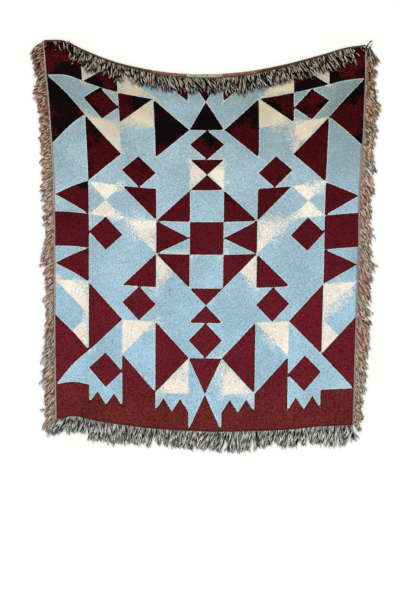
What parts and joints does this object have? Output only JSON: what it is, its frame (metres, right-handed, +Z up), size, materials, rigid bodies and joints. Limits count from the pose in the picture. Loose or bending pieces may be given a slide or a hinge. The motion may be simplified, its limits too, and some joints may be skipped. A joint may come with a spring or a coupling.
{
  "type": "throw blanket",
  "caption": "Woven throw laid out face up, with a turned upper edge, soft folds and yarn fringe along all its edges.",
  "frame": {"origin": "centre of the bounding box, on the floor that the throw lies on", "axes": "+Z up from the floor, +Y towards the turned upper edge, +X to the right of the face as seen from above"},
  "size_m": [1.2762, 1.5184, 0.0189],
  "materials": {
    "woven_cloth": "matt woven cotton",
    "fringe_yarn": "matt loose cotton yarn"
  },
  "bodies": {
    "root": {"cloth": "woven_cloth", "fringe_left": "fringe_yarn", "fringe_right": "fringe_yarn", "fringe_foot": "fringe_yarn", "fringe_top": "fringe_yarn"}
  },
  "joints": []
}
